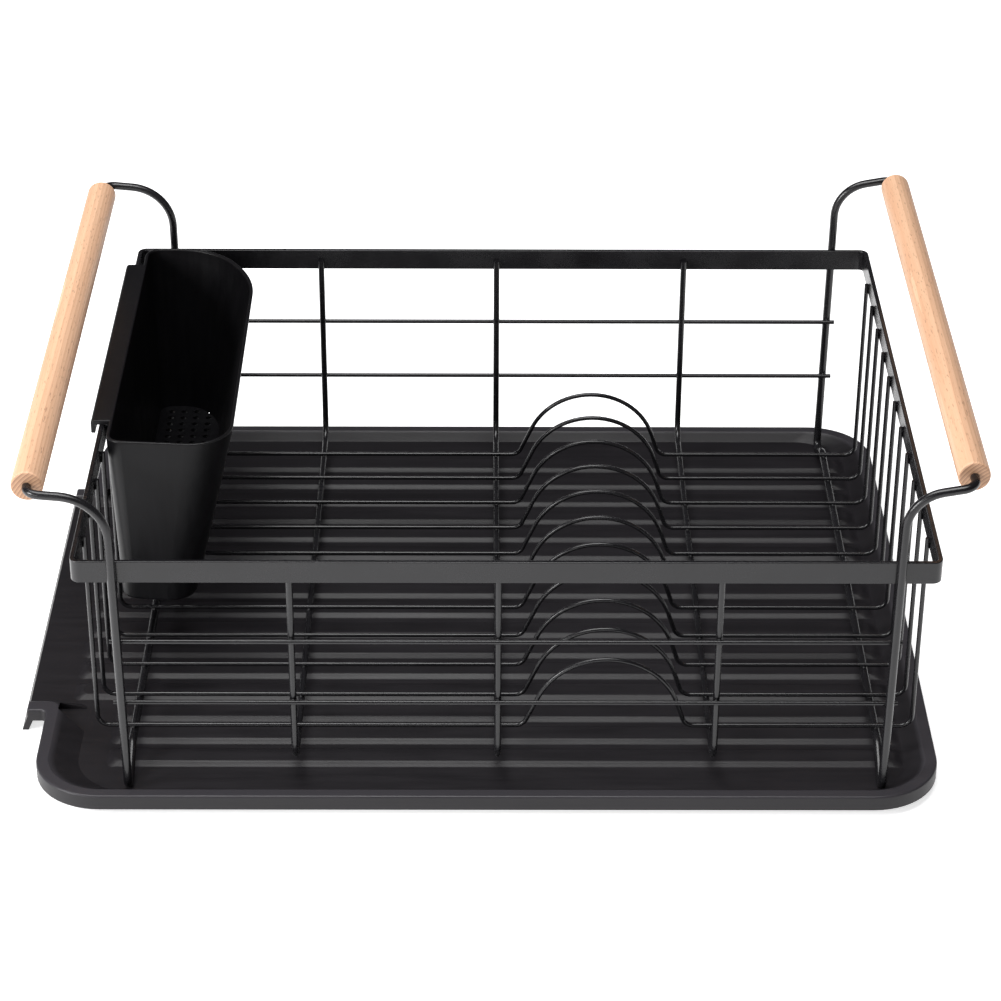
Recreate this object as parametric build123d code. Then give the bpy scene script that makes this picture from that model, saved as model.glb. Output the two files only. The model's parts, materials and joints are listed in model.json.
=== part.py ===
from build123d import *
import math
import os

# Dish drying rack: wire basket with wooden grips, hook-on cutlery cup and drip tray.
# Millimetres. +Z up, +X to the right, +Y to the rear. Origin: centre of the basket,
# on the surface the tray stands on.

# ---- basket band
band_length = 430.0
band_depth = 351.5
band_height = 12.2
band_thickness = 2.4
band_corner_radius = 5.0
band_edge = 0.5
band_top = 144.0

# ---- wire sizes
leg_wire = 4.5
mid_wire = 3.5
plate_wire = 2.4
weld_bite = 0.02

# ---- plate wires, counted from the rear
plate_wire_pitch = 28.4
plate_wire_end_gap = 30.0
plate_wire_level = 23.7
plate_wire_bend = 6.0
weld_end_drop = 6.0
arch_left_foot_x = 9.2
arch_span = 84.3
arch_rise = 40.8
arch_left_lean = 24.0
arch_right_lean = 18.0
arch_foot_bend = 6.0

# ---- mid frames and rails
mid_frame_x = (-107.5, -4.0, 106.5)
mid_frame_bend = 12.0
rail_levels = {"upper": 96.5, "lower": 60.0}
rail_overhang = 3.5

# ---- end frames, which carry the grips
leg_corner_gap = 20.5
leg_lean = 1.5
grip_turn_bend = 6.5
foot_bend = 4.5
foot_length = 8.0
foot_ramp = 18.0
ramp_bend = 9.0

# ---- handles, bent by hand, so the two sides differ a little
handle_levels = {"left": 183.8, "right": 188.4}
handle_rises = {"left": 3.5, "right": 6.0}
shoulder_bends = {"left": 25.0, "right": 21.0}
grip_overhangs = {"left": 18.1, "right": 12.2}
grip_slides = {"left": -3.0, "right": 0.0}

# ---- grips
grip_diameter = 16.0
grip_end_gap = 7.75
grip_edge = 1.2
grip_bore_clearance = 0.05
wire_reach = 25.0
bore_spare = 2.0

# ---- drip tray
tray_left_margin = 28.0
tray_right_margin = 9.0
tray_front_leg_margin = 10.27
tray_rear_leg_margin = 15.77
tray_corner_radius = 36.0
tray_rim_top = 13.0
tray_rim_width = 6.2
tray_rim_edge = 1.2
tray_skirt_bottom = 4.8
tray_floor_top = 8.0
tray_sheet = 1.8
front_wall_run = 5.0
left_wall_run = 15.0
right_wall_run = 10.0
spout_corner_gap = 85.5
spout_side_run = 5.0
spout_flare_run = 21.0
spout_band = 8.5
spout_reach = 10.5
spout_curl_radius = 7.0
spout_root_radius = 3.0
spout_tip_radius = 1.0
lip_bottom = 0.4
lip_flare = 3.0
lip_thickness = 3.4
rib_pitch = 20.3
rib_end_gap = 41.0
rib_height = 2.0
rib_base_width = 17.0
rib_top_width = 9.6
rib_end_run = 5.0
rib_corner_radius = 4.0
rib_slices = 5
basin_floor_edge = 1.0
rib_right_gap = 17.0
rib_left_gap = 12.0
short_rib_left_gap = 36.0
short_rib_count = 3
tray_pad_diameter = 22.0
tray_pad_inset = 46.0
tray_overshoot = 20.0

# ---- cutlery cup
cup_wire_gap = 0.52
cup_width = 66.4
cup_length = 236.0
cup_rear_gap = 2.9
cup_front_skew = 5.0
cup_rim_height = 2.6
cup_rim_edge = 0.8
cup_floor = 44.0
cup_wall = 2.0
cup_taper_left = 2.5
cup_taper_right = 24.0
cup_taper_ends = 8.0
cup_radius_left = 9.0
cup_radius_front = 22.0
cup_sweep_width = 24.7
cup_sweep_length = 38.5
cup_sweep_radii = (72.0, 40.0)
cup_sweep_taper = 0.5
cup_base_edge = 2.5
drain_hole = 3.6
drain_pitch = 7.5
drain_margin = 6.5
hook_gap = 0.05
hook_side_gap = 2.3
hook_edge = 2.0
hook_thickness = 2.3
hook_drop = 7.5
hook_front_step = 27.5
hook_rear_step = 21.5

# ---- how far a cut runs past the surface it opens, and the slack when edges are picked by level
cut_spare = 1.0
level_slack = 0.01

leg_radius = leg_wire / 2
mid_radius = mid_wire / 2
plate_radius = plate_wire / 2
half_length = band_length / 2
half_depth = band_depth / 2
leg_y = half_depth + leg_radius - weld_bite
mid_y = half_depth - band_thickness - mid_radius + weld_bite
rail_y = half_depth - band_thickness / 2
riser_x = half_length - band_thickness - plate_radius + weld_bite
weld_top = band_top - weld_end_drop
leg_floor_level = plate_wire_level - plate_radius - leg_radius + weld_bite
mid_floor_level = plate_wire_level - plate_radius - mid_radius + weld_bite
plate_wire_count = int((mid_y - plate_wire_end_gap + mid_radius) * 2 / plate_wire_pitch) + 1
leg_top_x = half_length - leg_corner_gap
leg_foot_x = leg_top_x - leg_lean
rail_length = 2 * (leg_top_x + rail_overhang)
grip_length = band_depth - 2 * grip_end_gap

tray_left = -(half_length + tray_left_margin)
tray_right = half_length + tray_right_margin
tray_front = -(leg_y + leg_radius + tray_front_leg_margin)
tray_rear = leg_y + leg_radius + tray_rear_leg_margin
tray_middle_y = (tray_front + tray_rear) / 2
spout_half_width = (tray_rear - tray_front) / 2 - spout_corner_gap
rib_count = int((tray_rear - tray_front - 2 * rib_end_gap) / rib_pitch) + 1

cup_left = cup_wire_gap + plate_radius - riser_x
cup_right = cup_left + cup_width
cup_rear = half_depth - band_thickness - cup_rear_gap
cup_front = cup_rear - cup_length


def arc_between(centre, start, end):
    """Arc round a centre, the short way from start to end."""
    radius = (start - centre).length
    middle = centre + ((start - centre) + (end - centre)).normalized() * radius
    return ThreePointArc(start, middle, end)


def corner_arc(before, corner, after, radius):
    """Arc that rounds the corner between two straight sides."""
    incoming = (corner - before).normalized()
    outgoing = (after - corner).normalized()
    half_turn = math.radians(incoming.get_angle(outgoing)) / 2
    setback = radius * math.tan(half_turn)
    centre = corner + (outgoing - incoming).normalized() * (radius / math.cos(half_turn))
    return arc_between(centre, corner - incoming * setback, corner + outgoing * setback)


def rounded_path(points, radii):
    """Open path through the points, with each inner corner rounded to its own radius."""
    corners = [Vector(*point) for point in points]
    edges = []
    start = corners[0]
    for before, corner, after, radius in zip(corners, corners[1:], corners[2:], radii):
        arc = corner_arc(before, corner, after, radius)
        edges.append(Line(start, arc @ 0))
        edges.append(arc)
        start = arc @ 1
    edges.append(Line(start, corners[-1]))
    return Wire(edges)


def wire_along(path, radius):
    """Round wire swept along a path."""
    section = Plane(origin=path @ 0, z_dir=path % 0) * Circle(radius)
    return sweep(section, path=path)


def make_band():
    outer = RectangleRounded(band_length, band_depth, band_corner_radius)
    inner = RectangleRounded(
        band_length - 2 * band_thickness,
        band_depth - 2 * band_thickness,
        band_corner_radius - band_thickness,
    )
    band = Pos(0, 0, band_top - band_height) * extrude(outer - inner, band_height)
    levels = band.edges().group_by(Axis.Z)
    return fillet(levels[0] + levels[-1], band_edge)


def make_plate_wire(y):
    """One long wire: riser, floor run with a plate arch on two leaning legs, riser."""
    floor_z = plate_wire_level
    right_foot_x = arch_left_foot_x + arch_span
    left_lean = math.radians(arch_left_lean)
    right_lean = math.radians(arch_right_lean)
    leans = (left_lean, right_lean)
    spread = sum(math.tan(lean) for lean in leans)
    reach = sum(math.cos(lean) - (1 - math.sin(lean)) * math.tan(lean) for lean in leans)
    arch_radius = (arch_span - arch_rise * spread) / reach
    centre_rise = arch_rise - arch_radius
    leg_rise = centre_rise + arch_radius * math.sin(left_lean)
    centre_x = arch_left_foot_x + arch_radius * math.cos(left_lean) + leg_rise * math.tan(left_lean)
    centre = Vector(centre_x, y, floor_z + centre_rise)
    crown = centre + Vector(0, 0, arch_radius)
    left_top = centre + Vector(-math.cos(left_lean), 0, math.sin(left_lean)) * arch_radius
    right_top = centre + Vector(math.cos(right_lean), 0, math.sin(right_lean)) * arch_radius
    left_points = [(-riser_x, weld_top), (-riser_x, floor_z), (arch_left_foot_x, floor_z)]
    right_points = [(right_foot_x, floor_z), (riser_x, floor_z), (riser_x, weld_top)]
    left_side = rounded_path(
        [(x, y, z) for x, z in left_points] + [tuple(left_top)],
        [plate_wire_bend, arch_foot_bend],
    )
    right_side = rounded_path(
        [tuple(right_top)] + [(x, y, z) for x, z in right_points],
        [arch_foot_bend, plate_wire_bend],
    )
    arch = ThreePointArc(left_top, crown, right_top)
    return wire_along(Wire(left_side.edges() + [arch] + right_side.edges()), plate_radius)


def make_mid_frame(x):
    points = [
        (x, -mid_y, weld_top),
        (x, -mid_y, mid_floor_level),
        (x, mid_y, mid_floor_level),
        (x, mid_y, weld_top),
    ]
    return wire_along(rounded_path(points, [mid_frame_bend] * 2), mid_radius)


def make_rail(y, z):
    start = Vector(-rail_length / 2, y, z)
    end = Vector(rail_length / 2, y, z)
    return wire_along(Wire([Line(start, end)]), band_thickness / 2)


def grip_axis_x(name, side):
    return side * (half_length + grip_overhangs[name])


def make_end_frame(name, side):
    """Thick frame from the bore of one grip end, down, along the floor and up to the other end."""
    grip_x = grip_axis_x(name, side)
    grip_y = grip_slides[name]
    handle_z = handle_levels[name]
    top_x = side * leg_top_x
    foot_x = side * leg_foot_x
    foot_z = tray_floor_top + leg_radius
    inner_y = leg_y - foot_length
    ramp_y = inner_y - foot_ramp
    bore_y = grip_length / 2 - wire_reach
    front = [
        (grip_x, -leg_y, handle_z),
        (top_x, -leg_y, handle_z - handle_rises[name]),
        (foot_x, -leg_y, foot_z),
        (foot_x, -inner_y, foot_z),
        (foot_x, -ramp_y, leg_floor_level),
    ]
    rear = [(x, -y, z) for x, y, z in reversed(front)]
    front_tip = (grip_x, grip_y - bore_y, handle_z)
    rear_tip = (grip_x, grip_y + bore_y, handle_z)
    bends = [grip_turn_bend, shoulder_bends[name], foot_bend, foot_bend, ramp_bend]
    path = rounded_path([front_tip] + front + rear + [rear_tip], bends + bends[::-1])
    return wire_along(path, leg_radius)


def make_grip(name, side):
    bore_radius = leg_radius + grip_bore_clearance
    bore_depth = wire_reach + bore_spare
    dowel = Cylinder(grip_diameter / 2, grip_length)
    dowel = fillet(dowel.edges().filter_by(GeomType.CIRCLE), grip_edge)
    bore = Cylinder(bore_radius, bore_depth)
    for end in (-1, 1):
        dowel -= Pos(0, 0, end * (grip_length - bore_depth) / 2) * bore
    place = Pos(grip_axis_x(name, side), grip_slides[name], handle_levels[name])
    return place * Rot(90, 0, 0) * dowel


def rounded_face(corners):
    """Flat face from corners given as (x, y, radius), in order round the outline."""
    points = [Vector(x, y) for x, y, radius in corners]
    following = points[1:] + points[:1]
    arcs = []
    for index, corner in enumerate(points):
        arcs.append(corner_arc(points[index - 1], corner, following[index], corners[index][2]))
    sides = [Line(arc @ 1, arcs[(index + 1) % len(arcs)] @ 0) for index, arc in enumerate(arcs)]
    return make_face(arcs + sides)


def tray_outline(insets, radius, curl, half_width, reach):
    """Tray plan with the spout on its left side; insets are (left, right, ends), from the rim."""
    inset_left, inset_right, inset_ends = insets
    left = tray_left + inset_left
    right = tray_right - inset_right
    front = tray_front + inset_ends
    rear = tray_rear - inset_ends
    spout_left = tray_left - reach
    spout_front = tray_middle_y - half_width
    spout_rear = tray_middle_y + half_width
    return rounded_face(
        [
            (left, front, radius),
            (right, front, radius),
            (right, rear, radius),
            (left, rear, radius),
            (left, spout_rear, curl),
            (spout_left, spout_rear, spout_tip_radius),
            (spout_left, spout_front, spout_tip_radius),
            (left, spout_front, curl),
        ]
    )


def basin_solid(grow, bottom, top):
    """Space of the basin between two levels, its walls sloping; grow moves every wall outwards."""
    depth = tray_rim_top - tray_floor_top
    slices = []
    for level in (bottom, top):
        run_left = 1 - (level - tray_floor_top) / depth
        insets = [
            tray_rim_width + run * run_left - grow
            for run in (left_wall_run, right_wall_run, front_wall_run)
        ]
        face = tray_outline(
            insets,
            tray_corner_radius - tray_rim_width,
            spout_curl_radius,
            spout_half_width - spout_side_run * run_left + grow,
            spout_reach + tray_overshoot,
        )
        slices.append(Pos(0, 0, level) * face)
    return loft(slices, ruled=True)


def make_rib(index):
    """Raised floor rib, its sides and ends rising in a soft S curve."""
    y = tray_middle_y + (index - (rib_count - 1) / 2) * rib_pitch
    from_edge = min(index, rib_count - 1 - index)
    left = tray_left + (short_rib_left_gap if from_edge < short_rib_count else rib_left_gap)
    right = tray_right - rib_right_gap
    length = right - left
    middle = Pos((left + right) / 2, y, tray_floor_top)
    side_run = (rib_base_width - rib_top_width) / 2
    slices = []
    for step in range(rib_slices + 1):
        share = step / rib_slices
        level = rib_height * share**2 * (3 - 2 * share)
        run_x = 2 * rib_end_run * share
        run_y = 2 * side_run * share
        face = RectangleRounded(length - run_x, rib_base_width - run_y, rib_corner_radius)
        slices.append(Pos(0, 0, level) * face)
    root = Pos(0, 0, -tray_sheet / 2) * extrude(slices[0], tray_sheet / 2)
    return middle * (root + loft(slices))


def make_spout_flares(grow, bottom, top):
    """Wedges beside the spout, where the sloping left wall fades out; grow moves each side outwards."""
    rim_x = tray_left + tray_rim_width - grow
    floor_x = rim_x + left_wall_run + 2 * grow
    wedges = []
    for end in (-1, 1):
        spout_end = tray_middle_y + end * spout_half_width
        near_y = spout_end - end * grow
        outline = Polyline(
            (rim_x, spout_end + end * (spout_curl_radius + 2 * grow)),
            (floor_x, spout_end + end * (spout_flare_run + 2 * grow)),
            (floor_x, near_y),
            (rim_x, near_y),
            close=True,
        )
        wedges.append(Pos(0, 0, bottom) * extrude(make_face(outline), top - bottom, dir=(0, 0, 1)))
    return wedges


def make_lip():
    """Turned-down edge of the spout, leaning outwards."""
    edge_x = tray_left - spout_reach
    half_width = spout_half_width + spout_band
    profile = Polyline(
        (edge_x, tray_floor_top),
        (edge_x - lip_flare, lip_bottom),
        (edge_x - lip_flare + lip_thickness, lip_bottom),
        (edge_x + lip_thickness, tray_floor_top - tray_sheet / 2),
        (edge_x + lip_thickness, tray_floor_top),
        close=True,
    )
    face = Plane.XZ * make_face(profile)
    return Pos(0, tray_middle_y + half_width, 0) * extrude(face, 2 * half_width)


def make_drip_tray():
    """Thin moulded tray: flat rim with a skirt, shallow ribbed basin, drain spout on the left."""
    outer_width = spout_half_width + spout_band
    plan = tray_outline((0, 0, 0), tray_corner_radius, spout_root_radius, outer_width, spout_reach)
    tray = Pos(0, 0, tray_skirt_bottom) * extrude(plan, tray_rim_top - tray_skirt_bottom)
    tray -= basin_solid(0, tray_floor_top, tray_rim_top + cut_spare)
    tray = fillet(tray.edges().group_by(Axis.Z)[-1], tray_rim_edge)
    floor_levels = (tray_floor_top - level_slack, tray_floor_top + level_slack)
    floor_edges = tray.edges().filter_by_position(Axis.Z, *floor_levels)
    tray = fillet(floor_edges.sort_by(Axis.X)[1:], basin_floor_edge)
    tray -= make_spout_flares(0, tray_floor_top, tray_rim_top)
    underside = tray_floor_top - tray_sheet
    roof = tray_rim_top - tray_sheet
    hollow_plan = tray_outline(
        (tray_sheet,) * 3,
        tray_corner_radius - tray_sheet,
        spout_root_radius + tray_sheet,
        outer_width - tray_sheet,
        spout_reach - tray_sheet,
    )
    hollow = Pos(0, 0, tray_skirt_bottom) * extrude(hollow_plan, roof - tray_skirt_bottom)
    tray -= hollow - basin_solid(tray_sheet, underside, roof) - make_spout_flares(tray_sheet, underside, roof)
    gap_reach = spout_reach + cut_spare
    spout_gap = Box(gap_reach, 2 * (outer_width + cut_spare), underside)
    tray -= Pos(tray_left - gap_reach / 2, tray_middle_y, underside / 2) * spout_gap
    tray += make_lip()
    for index in range(rib_count):
        tray += make_rib(index)
    pad_height = tray_floor_top - tray_sheet / 2
    pad = Pos(0, 0, pad_height / 2) * Cylinder(tray_pad_diameter / 2, pad_height)
    tray += pad
    for x in (tray_left + tray_pad_inset, tray_right - tray_pad_inset):
        for y in (tray_front + tray_pad_inset, tray_rear - tray_pad_inset):
            tray += Pos(x, y) * pad
    return tray


def cup_outline(level, inset):
    """Cup plan at a height: straight along the basket's side, swept round at the rear right."""
    rim = band_top + cup_rim_height
    down = (rim - level) / (rim - cup_floor)
    left = cup_left + cup_taper_left * down + inset
    right = cup_right - cup_taper_right * down - inset
    front = cup_front + cup_taper_ends * down + inset
    rear = cup_rear - cup_taper_ends * down - inset
    share = 1 - cup_sweep_taper * down
    side_radius, back_radius = (radius * share - inset for radius in cup_sweep_radii)
    face = rounded_face(
        [
            (left, front + cup_front_skew, cup_radius_left - inset),
            (right, front, cup_radius_front - cup_taper_ends * down - inset),
            (right, rear - cup_sweep_length * share, side_radius),
            (right - cup_sweep_width * share, rear, back_radius),
            (left, rear, cup_radius_left - inset),
        ]
    )
    return Pos(0, 0, level) * face


def make_drain_holes():
    """Square grid of holes through the cup's base."""
    left = cup_left + cup_taper_left + drain_margin
    right = cup_right - cup_taper_right - drain_margin
    front = cup_front + cup_taper_ends + drain_margin
    rear = cup_rear - cup_taper_ends - drain_margin
    columns = int((right - left) // drain_pitch) + 1
    rows = int((rear - front) // drain_pitch) + 1
    centre = Pos((left + right) / 2, (front + rear) / 2, cup_floor + cup_wall / 2)
    drill = Cylinder(drain_hole / 2, 2 * cup_wall)
    grid = GridLocations(drain_pitch, drain_pitch, columns, rows)
    return [centre * place * drill for place in grid]


def make_cutlery_holder():
    """Tapered cup with a flange that hooks over the basket's left band."""
    rim = band_top + cup_rim_height
    cup = loft([cup_outline(cup_floor, 0), cup_outline(rim, 0)], ruled=True)
    cup = fillet(cup.edges().group_by(Axis.Z)[0], cup_base_edge)
    inside = [cup_outline(cup_floor + cup_wall, cup_wall), cup_outline(rim + cut_spare, cup_wall)]
    cup -= loft(inside, ruled=True)
    cup -= make_drain_holes()
    outer_x = -(half_length + hook_side_gap + hook_thickness)
    inner_x = -(half_length + hook_side_gap)
    wall_x = cup_left + cup_wall / 2
    seat = band_top + hook_gap
    profile = Polyline(
        (outer_x, rim),
        (outer_x, rim - hook_drop),
        (inner_x, rim - hook_drop),
        (inner_x, seat),
        (wall_x, seat),
        (wall_x, rim),
        close=True,
    )
    hook_length = cup_length - hook_front_step - hook_rear_step
    hook = Pos(0, cup_rear - hook_rear_step, 0) * extrude(Plane.XZ * make_face(profile), hook_length)
    top_edge = hook.edges().filter_by(Axis.Y).group_by(Axis.Z)[-1].sort_by(Axis.X)[0]
    hook = fillet(top_edge, hook_edge)
    return fillet((cup + hook).edges().group_by(Axis.Z)[-1], cup_rim_edge)


def make_parts():
    parts = {
        "drip_tray": make_drip_tray(),
        "rim_band": make_band(),
        "cutlery_holder": make_cutlery_holder(),
    }
    for name, side in (("left", -1), ("right", 1)):
        parts[f"{name}_end_frame"] = make_end_frame(name, side)
        parts[f"{name}_grip"] = make_grip(name, side)
    for number, x in enumerate(mid_frame_x, start=1):
        parts[f"mid_frame_{number}"] = make_mid_frame(x)
    for index in range(plate_wire_count):
        y = ((plate_wire_count - 1) / 2 - index) * plate_wire_pitch
        parts[f"plate_wire_{index + 1:02d}"] = make_plate_wire(y)
    for level_name, z in rail_levels.items():
        parts[f"front_rail_{level_name}"] = make_rail(-rail_y, z)
        parts[f"rear_rail_{level_name}"] = make_rail(rail_y, z)
    return parts


os.makedirs("parts", exist_ok=True)
for name, shape in make_parts().items():
    export_step(shape, f"parts/{name}.step")
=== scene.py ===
import json
import math
import bpy
from mathutils import Matrix, Vector


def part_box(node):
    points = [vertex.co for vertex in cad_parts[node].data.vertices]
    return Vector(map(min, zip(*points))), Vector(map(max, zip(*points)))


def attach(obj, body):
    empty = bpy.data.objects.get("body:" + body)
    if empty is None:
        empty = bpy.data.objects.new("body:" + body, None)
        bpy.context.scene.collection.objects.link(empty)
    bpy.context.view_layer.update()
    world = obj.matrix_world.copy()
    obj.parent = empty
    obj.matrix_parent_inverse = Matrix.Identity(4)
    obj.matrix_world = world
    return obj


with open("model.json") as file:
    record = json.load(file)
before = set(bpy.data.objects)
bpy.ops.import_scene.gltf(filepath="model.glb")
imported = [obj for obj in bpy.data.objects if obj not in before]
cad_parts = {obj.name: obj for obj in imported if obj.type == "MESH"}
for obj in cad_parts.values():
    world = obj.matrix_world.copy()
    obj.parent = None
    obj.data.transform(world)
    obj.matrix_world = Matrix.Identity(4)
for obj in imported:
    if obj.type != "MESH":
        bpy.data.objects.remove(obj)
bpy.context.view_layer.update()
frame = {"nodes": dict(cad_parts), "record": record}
record = frame["record"]
print("frame loaded:", len(frame["nodes"]), "nodes")

wireNodes = [name for name in frame["nodes"] if name in record["behaviour"]["bodies"]["basket"]]
plateWires = sorted(name for name in wireNodes if name.startswith("plate_wire"))
midFrames = sorted(name for name in wireNodes if name.startswith("mid_frame"))
endFrames = ["left_end_frame", "right_end_frame"]
rails = sorted(name for name in wireNodes if "_rail_" in name)


def deselectAll():
    bpy.ops.object.select_all(action="DESELECT")


def boxCentre(node):
    low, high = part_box(node)
    return (low + high) / 2


# helpers for the node trees: each adds one node and gives back its output

def newMaterial(name):
    material = bpy.data.materials.new(name)
    material.use_nodes = True
    tree = material.node_tree
    shader = tree.nodes["Principled BSDF"]
    coords = tree.nodes.new("ShaderNodeTexCoord")
    coords.location = (-1500, 0)
    shader.location = (300, 0)
    tree.nodes["Material Output"].location = (600, 0)
    return material, tree, shader, coords


def addNoise(tree, vector, scale, detail, roughness, place):
    noise = tree.nodes.new("ShaderNodeTexNoise")
    noise.inputs["Scale"].default_value = scale
    noise.inputs["Detail"].default_value = detail
    noise.inputs["Roughness"].default_value = roughness
    noise.location = place
    tree.links.new(vector, noise.inputs["Vector"])
    return noise.outputs["Fac"]


def addStretch(tree, vector, scale, place):
    # squeezes the pattern along one axis, so it runs with the part
    mapping = tree.nodes.new("ShaderNodeMapping")
    mapping.inputs["Scale"].default_value = scale
    mapping.location = place
    tree.links.new(vector, mapping.inputs["Vector"])
    return mapping.outputs["Vector"]


def addRange(tree, value, low, high, outLow, outHigh, place):
    remap = tree.nodes.new("ShaderNodeMapRange")
    remap.inputs["From Min"].default_value = low
    remap.inputs["From Max"].default_value = high
    remap.inputs["To Min"].default_value = outLow
    remap.inputs["To Max"].default_value = outHigh
    remap.location = place
    tree.links.new(value, remap.inputs["Value"])
    return remap.outputs["Result"]


def addRamp(tree, value, stops, place):
    ramp = tree.nodes.new("ShaderNodeValToRGB")
    ramp.location = place
    points = ramp.color_ramp.elements
    points[0].position, points[0].color = stops[0][0], (*stops[0][1], 1)
    points[1].position, points[1].color = stops[-1][0], (*stops[-1][1], 1)
    for position, colour in stops[1:-1]:
        points.new(position).color = (*colour, 1)
    tree.links.new(value, ramp.inputs["Fac"])
    return ramp.outputs["Color"]


def addMix(tree, share, first, second, place, blend="MIX"):
    mix = tree.nodes.new("ShaderNodeMix")
    mix.data_type = "RGBA"
    mix.blend_type = blend
    mix.location = place
    for socket, value in ((mix.inputs[0], share), (mix.inputs[6], first), (mix.inputs[7], second)):
        if isinstance(value, bpy.types.NodeSocket):
            tree.links.new(value, socket)
        else:
            socket.default_value = value
    return mix.outputs[2]


def addMath(tree, operation, first, second, place):
    node = tree.nodes.new("ShaderNodeMath")
    node.operation = operation
    node.location = place
    for socket, value in zip(node.inputs, (first, second)):
        if isinstance(value, bpy.types.NodeSocket):
            tree.links.new(value, socket)
        else:
            socket.default_value = value
    return node.outputs[0]


def addBump(tree, height, strength, distance, place, normal=None):
    bump = tree.nodes.new("ShaderNodeBump")
    bump.inputs["Strength"].default_value = strength
    bump.inputs["Distance"].default_value = distance
    bump.location = place
    tree.links.new(height, bump.inputs["Height"])
    if normal is not None:
        tree.links.new(normal, bump.inputs["Normal"])
    return bump.outputs["Normal"]


coatLook = {"dark": (0.0042, 0.0040, 0.0048), "light": (0.0085, 0.0081, 0.0094),
            "dust": (0.022, 0.021, 0.024), "grain": 1700, "patches": 38, "roughLow": 0.20, "roughHigh": 0.30,
            "gloss": 0.44, "grainDepth": 0.00004}


def blackCoating():
    # powder coat over wire: fine orange peel, faint uneven cover
    material, tree, shader, coords = newMaterial("blackCoating")
    place = coords.outputs["Object"]
    patches = addNoise(tree, place, coatLook["patches"], 3, 0.55, (-1200, 200))
    peel = addNoise(tree, place, coatLook["grain"], 2, 0.5, (-1200, -200))
    specks = addNoise(tree, place, coatLook["grain"] * 2.6, 1, 0.5, (-1200, -500))
    colour = addRamp(tree, patches, [(0.3, coatLook["dark"]), (0.72, coatLook["light"])], (-900, 200))
    dust = addRange(tree, specks, 0.66, 0.8, 0, 0.5, (-900, -500))
    dusted = addMix(tree, dust, colour, (*coatLook["dust"], 1), (-500, 200))
    tree.links.new(dusted, shader.inputs["Base Color"])
    base = addRange(tree, patches, 0.3, 0.7, coatLook["roughLow"], coatLook["roughHigh"], (-900, -50))
    fine = addRange(tree, peel, 0.3, 0.7, -0.03, 0.03, (-900, -250))
    tree.links.new(addMath(tree, "ADD", base, fine, (-500, -50)), shader.inputs["Roughness"])
    tree.links.new(addBump(tree, peel, 0.35, coatLook["grainDepth"], (-500, -300)), shader.inputs["Normal"])
    shader.inputs["Specular IOR Level"].default_value = coatLook["gloss"]
    return material


# the rim colour is a painted sheen: a paler tone standing in for the light the rim's flat top reflects
trayLook = {"dark": (0.0062, 0.0054, 0.0066), "light": (0.0122, 0.0108, 0.0128),
            "rim": (0.038, 0.0358, 0.0408), "rimFrom": 0.0118, "rimTo": 0.0129,
            "grain": 2300, "clouds": 14, "flow": (2.2, 26, 26), "roughLow": 0.42, "roughHigh": 0.50,
            "rimRough": -0.14, "gloss": 0.30, "grainDepth": 0.00004}


def trayPlastic():
    # satin moulded plastic: eroded mould texture, flow lines along its length, faint wipe marks
    material, tree, shader, coords = newMaterial("trayPlastic")
    place = coords.outputs["Object"]
    clouds = addNoise(tree, place, trayLook["clouds"], 4, 0.6, (-1200, 300))
    along = addStretch(tree, place, trayLook["flow"], (-1400, 50))
    flow = addNoise(tree, along, 9, 5, 0.62, (-1200, 50))
    grain = addNoise(tree, place, trayLook["grain"], 2, 0.6, (-1200, -250))
    blend = addMath(tree, "ADD", addMath(tree, "MULTIPLY", clouds, 0.45, (-950, 300)),
                    addMath(tree, "MULTIPLY", flow, 0.55, (-950, 100)), (-750, 200))
    colour = addRamp(tree, blend, [(0.32, trayLook["dark"]), (0.68, trayLook["light"])], (-500, 250))
    # the rim above the basin is painted a little paler, a painted sheen for the light its flat top reflects,
    # and is also a little smoother
    height = tree.nodes.new("ShaderNodeSeparateXYZ")
    height.location = (-1200, 520)
    tree.links.new(place, height.inputs[0])
    rimSheenAndPolishShare = addRange(tree, height.outputs["Z"], trayLook["rimFrom"], trayLook["rimTo"], 0, 0.85, (-950, 520))
    paintedRimSheen = addMix(tree, rimSheenAndPolishShare, colour, (*trayLook["rim"], 1), (-200, 300))
    tree.links.new(paintedRimSheen, shader.inputs["Base Color"])
    base = addRange(tree, blend, 0.35, 0.65, trayLook["roughLow"], trayLook["roughHigh"], (-500, -50))
    speckle = addRange(tree, grain, 0.3, 0.7, -0.035, 0.035, (-500, -250))
    rough = addMath(tree, "ADD", base, speckle, (-200, -50))
    polish = addMath(tree, "MULTIPLY", rimSheenAndPolishShare, trayLook["rimRough"], (-200, 100))
    tree.links.new(addMath(tree, "ADD", rough, polish, (50, 0)), shader.inputs["Roughness"])
    fine = addBump(tree, grain, 0.4, trayLook["grainDepth"], (-200, -300))
    tree.links.new(addBump(tree, flow, 0.12, 0.0004, (50, -300), fine), shader.inputs["Normal"])
    shader.inputs["Specular IOR Level"].default_value = trayLook["gloss"]
    return material


cupLook = {"dark": (0.0022, 0.0021, 0.0026), "light": (0.0046, 0.0044, 0.0052), "grain": 2600, "clouds": 22,
           "roughLow": 0.33, "roughHigh": 0.44, "gloss": 0.22, "grainDepth": 0.00004}


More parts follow.
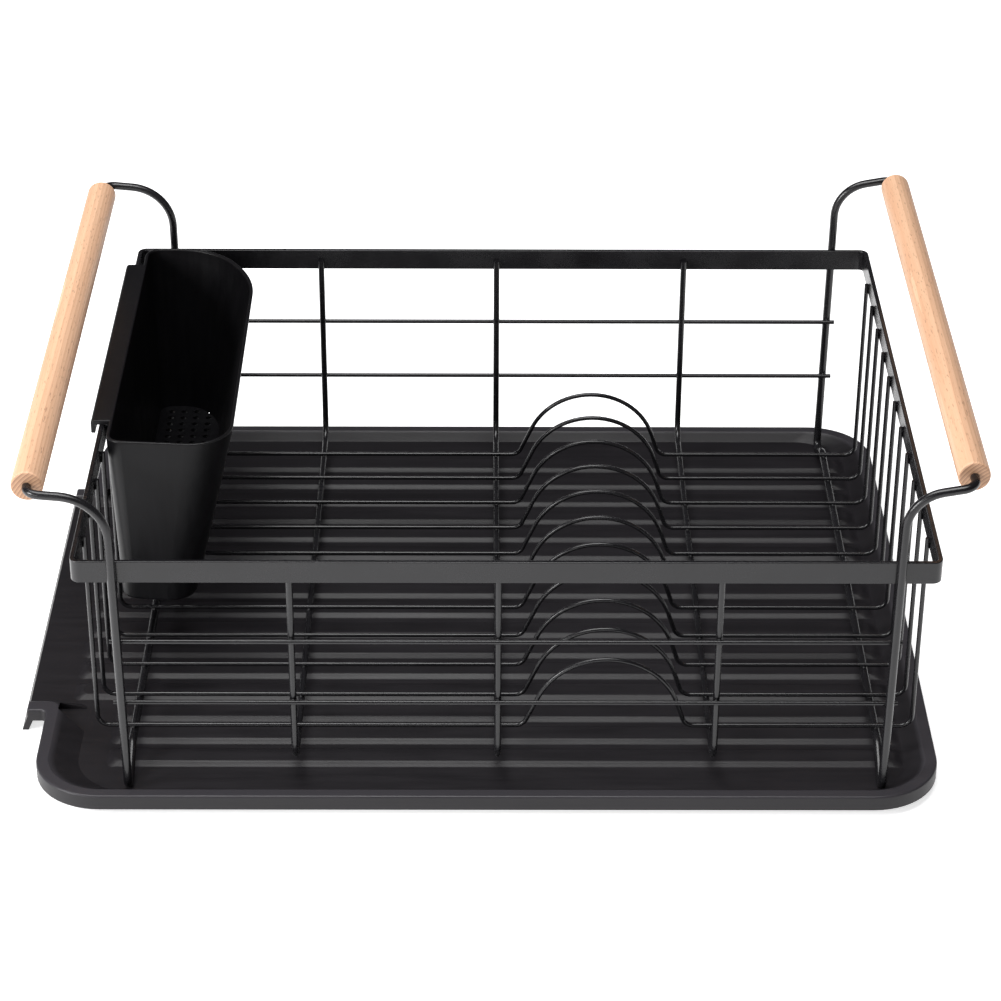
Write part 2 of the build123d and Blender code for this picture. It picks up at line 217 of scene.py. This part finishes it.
def cupPlastic():
    # denser black plastic, the same fine mould texture, drawn a little along its height
    material, tree, shader, coords = newMaterial("cupPlastic")
    place = coords.outputs["Object"]
    clouds = addNoise(tree, place, cupLook["clouds"], 4, 0.6, (-1200, 300))
    drawn = addNoise(tree, addStretch(tree, place, (60, 60, 5), (-1400, 50)), 6, 4, 0.6, (-1200, 50))
    grain = addNoise(tree, place, cupLook["grain"], 2, 0.6, (-1200, -250))
    blend = addMath(tree, "ADD", addMath(tree, "MULTIPLY", clouds, 0.5, (-950, 300)),
                    addMath(tree, "MULTIPLY", drawn, 0.5, (-950, 100)), (-750, 200))
    colour = addRamp(tree, blend, [(0.33, cupLook["dark"]), (0.67, cupLook["light"])], (-500, 250))
    tree.links.new(colour, shader.inputs["Base Color"])
    base = addRange(tree, blend, 0.35, 0.65, cupLook["roughLow"], cupLook["roughHigh"], (-500, -50))
    speckle = addRange(tree, grain, 0.3, 0.7, -0.03, 0.03, (-500, -250))
    tree.links.new(addMath(tree, "ADD", base, speckle, (-200, -50)), shader.inputs["Roughness"])
    tree.links.new(addBump(tree, grain, 0.4, cupLook["grainDepth"], (-200, -300)), shader.inputs["Normal"])
    shader.inputs["Specular IOR Level"].default_value = cupLook["gloss"]
    return material


beechLook = {"pale": (0.74, 0.475, 0.305), "warm": (0.58, 0.325, 0.195), "fleck": (0.26, 0.125, 0.070),
             "endPale": (0.46, 0.265, 0.155), "endDark": (0.20, 0.098, 0.052), "ringStep": 0.0017,
             "heartOffset": (0.021, -0.016)}


def beechWood(name, grip):
    # plain-sawn beech: growth rings off the heart, fine fibre, short ray flecks, darker end grain
    material, tree, shader, coords = newMaterial(name)
    axis = boxCentre(grip)
    centred = tree.nodes.new("ShaderNodeMapping")
    centred.location = (-1900, 200)
    centred.inputs["Location"].default_value = (-axis.x - beechLook["heartOffset"][0], 0,
                                                -axis.z - beechLook["heartOffset"][1])
    tree.links.new(coords.outputs["Object"], centred.inputs["Vector"])
    wood = centred.outputs["Vector"]
    warpNoise = tree.nodes.new("ShaderNodeTexNoise")
    warpNoise.location = (-1650, 0)
    warpNoise.inputs["Scale"].default_value = 9
    warpNoise.inputs["Detail"].default_value = 2
    tree.links.new(addStretch(tree, wood, (1, 0.35, 1), (-1850, -50)), warpNoise.inputs["Vector"])
    warp = tree.nodes.new("ShaderNodeVectorMath")
    warp.operation = "MULTIPLY_ADD"
    warp.location = (-1450, 100)
    warp.inputs[1].default_value = (0.004, 0.004, 0.004)
    tree.links.new(warpNoise.outputs["Color"], warp.inputs[0])
    tree.links.new(wood, warp.inputs[2])
    split = tree.nodes.new("ShaderNodeSeparateXYZ")
    split.location = (-1250, 200)
    tree.links.new(warp.outputs[0], split.inputs[0])
    flat = tree.nodes.new("ShaderNodeCombineXYZ")
    flat.location = (-1050, 200)
    tree.links.new(split.outputs["X"], flat.inputs["X"])
    tree.links.new(split.outputs["Z"], flat.inputs["Z"])
    length = tree.nodes.new("ShaderNodeVectorMath")
    length.operation = "LENGTH"
    length.location = (-850, 200)
    tree.links.new(flat.outputs[0], length.inputs[0])
    turns = addMath(tree, "DIVIDE", length.outputs["Value"], beechLook["ringStep"], (-650, 200))
    ring = addMath(tree, "FRACT", turns, 0.0, (-450, 200))
    fibre = addNoise(tree, addStretch(tree, wood, (420, 9, 420), (-1050, -200)), 3, 4, 0.6, (-850, -200))
    board = addNoise(tree, addStretch(tree, wood, (40, 3, 40), (-1050, -450)), 2, 3, 0.5, (-850, -450))
    ringTone = addMath(tree, "MULTIPLY", addMath(tree, "POWER", ring, 2.2, (-250, 200)), 0.34, (-100, 200))
    tone = addMath(tree, "ADD", ringTone, addMath(tree, "ADD",
                   addMath(tree, "MULTIPLY", fibre, 0.42, (-450, -150)),
                   addMath(tree, "MULTIPLY", board, 0.46, (-450, -350)), (-250, -200)), (50, 50))
    colour = addRamp(tree, tone, [(0.28, beechLook["pale"]), (0.78, beechLook["warm"])], (200, 150))
    fleckPlace = addStretch(tree, wood, (1500, 190, 1500), (-1050, -700))
    fleckNoise = addNoise(tree, fleckPlace, 1, 1, 0.5, (-850, -700))
    fleck = addRange(tree, fleckNoise, 0.62, 0.74, 0, 0.62, (-450, -650))
    flecked = addMix(tree, fleck, colour, (*beechLook["fleck"], 1), (500, 100))
    # end grain takes the finish darker
    ends = tree.nodes.new("ShaderNodeNewGeometry")
    ends.location = (200, -400)
    facing = tree.nodes.new("ShaderNodeSeparateXYZ")
    facing.location = (400, -400)
    turned = tree.nodes.new("ShaderNodeVectorMath")
    turned.operation = "ABSOLUTE"
    turned.location = (300, -400)
    tree.links.new(ends.outputs["Normal"], turned.inputs[0])
    tree.links.new(turned.outputs[0], facing.inputs[0])
    endShare = addRange(tree, facing.outputs["Y"], 0.55, 0.95, 0, 0.78, (600, -400))
    endTone = addRamp(tree, ring, [(0.1, beechLook["endPale"]), (0.9, beechLook["endDark"])], (600, -150))
    tree.links.new(addMix(tree, endShare, flecked, endTone, (900, 100)), shader.inputs["Base Color"])
    tree.links.new(addRange(tree, fibre, 0.3, 0.7, 0.42, 0.58, (900, -150)), shader.inputs["Roughness"])
    relief = addMath(tree, "SUBTRACT", fibre, fleck, (600, -650))
    tree.links.new(addBump(tree, relief, 0.3, 0.00012, (900, -400)), shader.inputs["Normal"])
    shader.location = (1200, 0)
    tree.nodes["Material Output"].location = (1500, 0)
    return material


def dress(node, material):
    for slot in frame["nodes"][node].material_slots:
        slot.material = material


coatMaterial = blackCoating()
for name in wireNodes:
    dress(name, coatMaterial)
dress("drip_tray", trayPlastic())
dress("cutlery_holder", cupPlastic())
for grip in ("left_grip", "right_grip"):
    dress(grip, beechWood(grip + "_beech", grip))
print("materials on the CAD pieces done")


beadLook = {"radius": 0.0012, "flat": 0.62, "long": 1.3, "riserSize": 0.85, "sink": 0.0001,
            "riserSink": 0.0002, "riserDrop": 0.0014, "frameDrop": 0.0016, "legInset": 0.0042,
            "floorBand": 0.0005}


def addBead(place, normal, along, size=1.0):
    # a small flat lump at a crossing; normal and along are axis numbers
    deselectAll()
    bpy.ops.mesh.primitive_ico_sphere_add(subdivisions=2, radius=beadLook["radius"] * size, location=place)
    bead = bpy.context.active_object
    stretch = [1.0, 1.0, 1.0]
    stretch[normal] = beadLook["flat"]
    stretch[along] = beadLook["long"]
    bead.scale = stretch
    bpy.ops.object.transform_apply(location=True, rotation=True, scale=True)
    return bead


def joinPieces(pieces, name):
    deselectAll()
    for piece in pieces:
        piece.select_set(True)
    bpy.context.view_layer.objects.active = pieces[0]
    bpy.ops.object.join()
    joined = bpy.context.active_object
    joined.name = name
    joined.data.name = name
    bpy.ops.object.shade_smooth()
    return joined


def floorRunX(carrier):
    # where a carrier wire crosses under the long wires
    mesh = frame["nodes"][carrier].data
    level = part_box("plate_wire_01")[0].z + beadLook["floorBand"]
    near = [v.co.x for v in mesh.vertices if v.co.z < level]
    return (min(near) + max(near)) / 2


beads = []
for wire in plateWires:
    low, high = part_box(wire)
    y = (low.y + high.y) / 2
    for carrier in midFrames + endFrames:
        beads.append(addBead((floorRunX(carrier), y, low.z + beadLook["sink"]), 2, 1))
    for side in (-1, 1):
        x = side * (high.x - beadLook["riserSink"])
        beads.append(addBead((x, y, high.z - beadLook["riserDrop"]), 0, 2, beadLook["riserSize"]))
print("weld beads under and beside the long wires:", len(beads))

for rail in rails:
    low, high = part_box(rail)
    z = (low.z + high.z) / 2
    front = low.y < 0
    for carrier in midFrames:
        x = boxCentre(carrier).x
        beads.append(addBead((x, high.y if front else low.y, z), 1, 0))
    for carrier in endFrames:
        side = -1 if carrier.startswith("left") else 1
        legX = side * (high.x - beadLook["legInset"])
        beads.append(addBead((legX, low.y if front else high.y, z), 1, 0))
for carrier in midFrames:
    low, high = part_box(carrier)
    for y in (low.y + beadLook["riserSink"], high.y - beadLook["riserSink"]):
        beads.append(addBead((boxCentre(carrier).x, y, high.z - beadLook["frameDrop"]), 1, 2))
weldBeads = joinPieces(beads, "weld_beads")
weldBeads.data.materials.clear()
weldBeads.data.materials.append(coatMaterial)
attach(weldBeads, "basket")
print("weld beads done")

# the stage: floor, lights and camera
stageLook = {"size": 8.0, "colour": (0.90, 0.90, 0.905), "glow": 0.70}
deselectAll()
bpy.ops.mesh.primitive_plane_add(size=stageLook["size"], location=(0, 0, 0))
floor = bpy.context.active_object
floor.name = "floor"
floorMaterial, _, floorShader, _ = newMaterial("paleFloor")
floorShader.inputs["Base Color"].default_value = (*stageLook["colour"], 1)
floorShader.inputs["Roughness"].default_value = 0.6
floorShader.inputs["Emission Color"].default_value = (1, 1, 1, 1)  # lit from below, like a light table
floorShader.inputs["Emission Strength"].default_value = stageLook["glow"]
floor.data.materials.append(floorMaterial)

lights = [
    {"name": "overhead", "place": (-0.25, -0.15, 1.7), "aim": (-0.05, 0.1, 0),
     "size": (1.5, 0.8), "power": 33},
    {"name": "leftKey", "place": (-1.5, -0.9, 0.8), "aim": (0, -0.05, 0.06),
     "size": (0.55, 0.7), "power": 30},
    {"name": "frontFill", "place": (-1.0, -2.0, 0.8), "aim": (0, 0, 0.08),
     "size": (1.0, 0.5), "power": 7},
]
for entry in lights:
    bpy.ops.object.light_add(type="AREA", location=entry["place"])
    lamp = bpy.context.active_object
    lamp.name = entry["name"]
    lamp.data.shape = "RECTANGLE"
    lamp.data.size, lamp.data.size_y = entry["size"]
    lamp.data.energy = entry["power"]
    aim = Vector(entry["aim"]) - Vector(entry["place"])
    lamp.rotation_euler = aim.to_track_quat("-Z", "Y").to_euler()
world = bpy.data.worlds.new("studio")
bpy.context.scene.world = world
bpy.context.scene.view_settings.view_transform = "Standard"
world.use_nodes = True
world.node_tree.nodes["Background"].inputs["Color"].default_value = (0.96, 0.93, 1, 1)
world.node_tree.nodes["Background"].inputs["Strength"].default_value = 0.09
print("lights and floor done")

cameraLook = {"place": (-0.01125, -1.44098, 0.92776), "down": 30.6048, "turn": 0.3642, "roll": 0.2877,
              "lens": 109.085}
bpy.ops.object.camera_add(location=cameraLook["place"])
camera = bpy.context.active_object
camera.data.lens = cameraLook["lens"]
camera.data.sensor_width = 36
turned = Matrix.Rotation(-math.radians(cameraLook["turn"]), 4, "Z")
tipped = Matrix.Rotation(math.radians(90 - cameraLook["down"]), 4, "X")
rolled = Matrix.Rotation(math.radians(cameraLook["roll"]), 4, "Z")
camera.matrix_world = Matrix.Translation(cameraLook["place"]) @ turned @ tipped @ rolled
bpy.context.scene.camera = camera
print("camera done")
